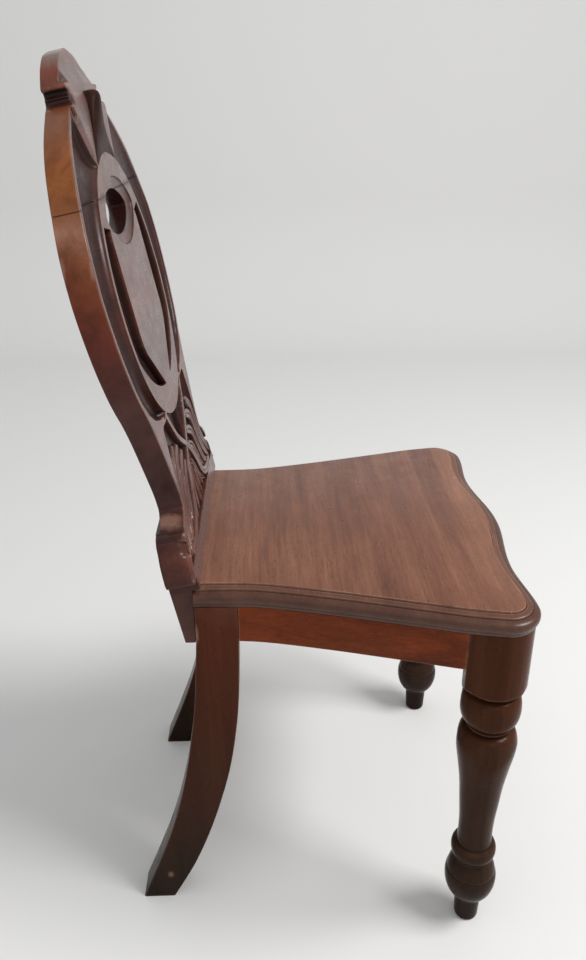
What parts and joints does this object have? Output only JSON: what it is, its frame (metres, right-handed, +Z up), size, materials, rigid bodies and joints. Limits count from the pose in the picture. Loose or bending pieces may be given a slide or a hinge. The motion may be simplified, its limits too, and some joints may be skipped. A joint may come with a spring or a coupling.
{
  "type": "hall chair",
  "caption": "Wooden hall chair: flat moulded seat, turned front legs, sabre rear legs, carved round back with a hand-hold.",
  "frame": {"origin": "on the floor under the middle of the chair's box", "axes": "+Z up, -Y the way the sitter faces, +X to the sitter's left"},
  "size_m": [0.426, 0.4532, 0.9086],
  "materials": {
    "seat_mahogany": "old French polish, glossy, with a paler sun-faded top",
    "rail_mahogany": "old French polish, glossy",
    "leg_mahogany": "old French polish, dark and glossy",
    "back_mahogany": "old French polish, glossy",
    "block_beech": "bare, sawn",
    "dowel_beech": "bare, turned",
    "screw_steel": "aged steel"
  },
  "bodies": {
    "root": {"seat_board": "seat_mahogany", "seat_rail_front": "rail_mahogany", "seat_rail_rear": "rail_mahogany", "seat_rail_left": "rail_mahogany", "seat_rail_right": "rail_mahogany", "front_leg_left": "leg_mahogany", "front_leg_right": "leg_mahogany", "rear_leg_left": "leg_mahogany", "rear_leg_right": "leg_mahogany", "back_upper_board": "back_mahogany", "back_lower_board": "back_mahogany", "crest_roll": "back_mahogany", "corner_block_front_left": "block_beech", "corner_block_front_right": "block_beech", "corner_block_rear_left": "block_beech", "corner_block_rear_right": "block_beech", "back_dowel_1": "dowel_beech", "back_dowel_2": "dowel_beech", "back_dowel_3": "dowel_beech", "back_dowel_4": "dowel_beech", "corner_block_screw_1": "screw_steel", "corner_block_screw_2": "screw_steel", "corner_block_screw_3": "screw_steel", "corner_block_screw_4": "screw_steel", "corner_block_screw_5": "screw_steel", "corner_block_screw_6": "screw_steel", "corner_block_screw_7": "screw_steel", "corner_block_screw_8": "screw_steel", "seat_screw_1": "screw_steel", "seat_screw_2": "screw_steel", "seat_screw_3": "screw_steel", "seat_screw_4": "screw_steel", "back_screw_1": "screw_steel", "back_screw_2": "screw_steel", "back_screw_3": "screw_steel", "back_screw_4": "screw_steel", "back_screw_5": "screw_steel", "back_screw_6": "screw_steel"}
  },
  "joints": []
}
